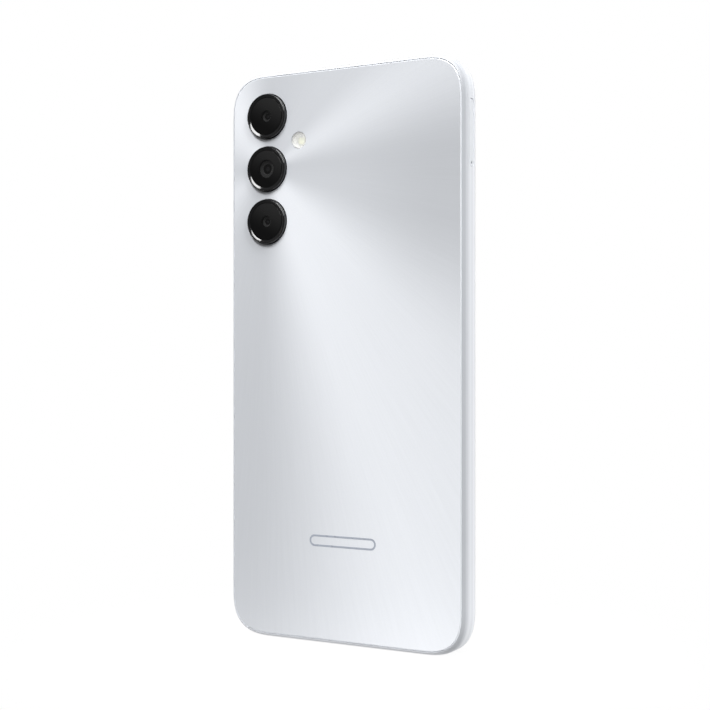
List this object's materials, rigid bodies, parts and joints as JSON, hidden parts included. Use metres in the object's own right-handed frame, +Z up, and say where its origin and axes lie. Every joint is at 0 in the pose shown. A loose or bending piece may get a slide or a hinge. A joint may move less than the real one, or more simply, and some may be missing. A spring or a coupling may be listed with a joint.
{
  "type": "smartphone",
  "caption": "Upright slab smartphone, screen one side, glossy silver back with a column of round camera rings; keys, tray, sockets and inner assembly as separate pieces.",
  "frame": {"origin": "centre of the bottom edge that the phone stands on, midway between the screen's face and the camera rings' tops", "axes": "+Z up the phone's length, -Y out of the screen, +Y out of the back, +X towards the side with the keys"},
  "size_m": [0.0782, 0.01, 0.168],
  "materials": {
    "silver_panel": "glossy pearlescent silver",
    "silver_frame": "satin metallic silver",
    "black_ring": "polished black",
    "dark_glass": "polished",
    "lcd_stack": "satin",
    "clear_lens": "clear, ribbed inside",
    "phosphor": "matte",
    "black_plastic": "matte",
    "steel": "satin",
    "chassis_metal": "cast",
    "board_green": "solder mask",
    "flex_orange": "polyimide film",
    "battery_wrap": "wrapped pouch",
    "backlight_white": "satin",
    "rubber": "matte",
    "adhesive": "matte",
    "diaphragm": "matte film",
    "brass": "satin"
  },
  "bodies": {
    "phone": {"side_frame": "silver_frame", "rear_panel": "silver_panel", "rear_panel_adhesive": "adhesive", "display_adhesive": "adhesive", "display_glass": "dark_glass", "lcd_panel": "lcd_stack", "backlight_unit": "backlight_white", "earpiece_mesh": "steel", "mid_chassis": "chassis_metal", "screw_bracket_corner": "steel", "screw_bracket_side": "steel", "screw_bracket_flash": "steel", "screw_main_board": "steel", "screw_sub_board": "steel", "screw_speaker_box": "steel", "camera_ring_top": "black_ring", "camera_ring_middle": "black_ring", "camera_ring_bottom": "black_ring", "camera_glass_top": "dark_glass", "camera_glass_middle": "dark_glass", "camera_glass_bottom": "dark_glass", "main_camera_body": "black_plastic", "macro_camera": "black_plastic", "depth_camera": "black_plastic", "front_camera": "black_plastic", "flash_lens": "clear_lens", "flash_led": "phosphor", "main_board": "board_green", "processor_shield": "steel", "radio_shield": "steel", "processor_chip": "black_plastic", "antenna_bracket": "black_plastic", "sub_board": "board_green", "bottom_microphone": "steel", "battery": "battery_wrap", "battery_flex": "flex_orange", "main_flex": "flex_orange", "display_flex": "flex_orange", "key_flex": "flex_orange", "antenna_coax": "black_plastic", "usb_port_shell": "steel", "usb_port_tongue": "black_plastic", "headphone_jack": "black_plastic", "speaker_box": "black_plastic", "earpiece_housing": "black_plastic", "vibration_motor_case": "steel", "vibration_motor_cover": "steel", "sim_reader": "steel"},
    "sim_tray": {"sim_tray": "silver_frame", "sim_tray_seal": "rubber"},
    "power_key": {"power_key": "silver_frame", "fingerprint_sensor": "dark_glass"},
    "volume_key": {"volume_key": "silver_frame"},
    "focus_barrel": {"focus_barrel": "black_plastic"},
    "vibration_rotor": {"vibration_rotor": "brass"},
    "speaker_diaphragm": {"speaker_diaphragm": "diaphragm"},
    "earpiece_diaphragm": {"earpiece_diaphragm": "diaphragm"},
    "eject_rod": {"eject_rod": "steel"},
    "eject_lever": {"eject_lever": "steel"}
  },
  "joints": [
    {"name": "sim_tray_slide", "type": "slide", "parent": "phone", "child": "sim_tray", "axis": [-1, 0, 0], "range_m": [0, 0.038]},
    {"name": "power_key_press", "type": "slide", "parent": "phone", "child": "power_key", "axis": [-1, 0, 0], "range_m": [0, 0.00025], "stiffness_N_per_m": 4000},
    {"name": "volume_key_rock", "type": "hinge", "parent": "phone", "child": "volume_key", "pos_m": [0.037, -0.0006, 0.1295], "axis": [0, 1, 0], "range_deg": [-1.2, 1.2], "stiffness_Nm_per_rad": 0.5},
    {"name": "focus_slide", "type": "slide", "parent": "phone", "child": "focus_barrel", "axis": [0, 1, 0], "range_m": [0, 0.0003], "stiffness_N_per_m": 20},
    {"name": "vibration_spin", "type": "hinge", "parent": "phone", "child": "vibration_rotor", "pos_m": [-0.0306, -0.0008, 0.0254], "axis": [0, 1, 0], "continuous": true},
    {"name": "speaker_stroke", "type": "slide", "parent": "phone", "child": "speaker_diaphragm", "axis": [0, 1, 0], "range_m": [-0.00025, 0.00025], "stiffness_N_per_m": 800},
    {"name": "earpiece_stroke", "type": "slide", "parent": "phone", "child": "earpiece_diaphragm", "axis": [0, 1, 0], "range_m": [-0.0001, 0.0001], "stiffness_N_per_m": 1000},
    {"name": "eject_rod_slide", "type": "slide", "parent": "phone", "child": "eject_rod", "axis": [1, 0, 0], "range_m": [0, 0.0016]},
    {"name": "eject_lever_swing", "type": "hinge", "parent": "phone", "child": "eject_lever", "pos_m": [0.0044, -0.00073, 0.1456], "axis": [0, -1, 0], "range_deg": [0, 11.5]}
  ],
  "couplings": [
    {"joint": "eject_lever_swing", "follows": "eject_rod_slide", "rad_per_m": 122}
  ]
}
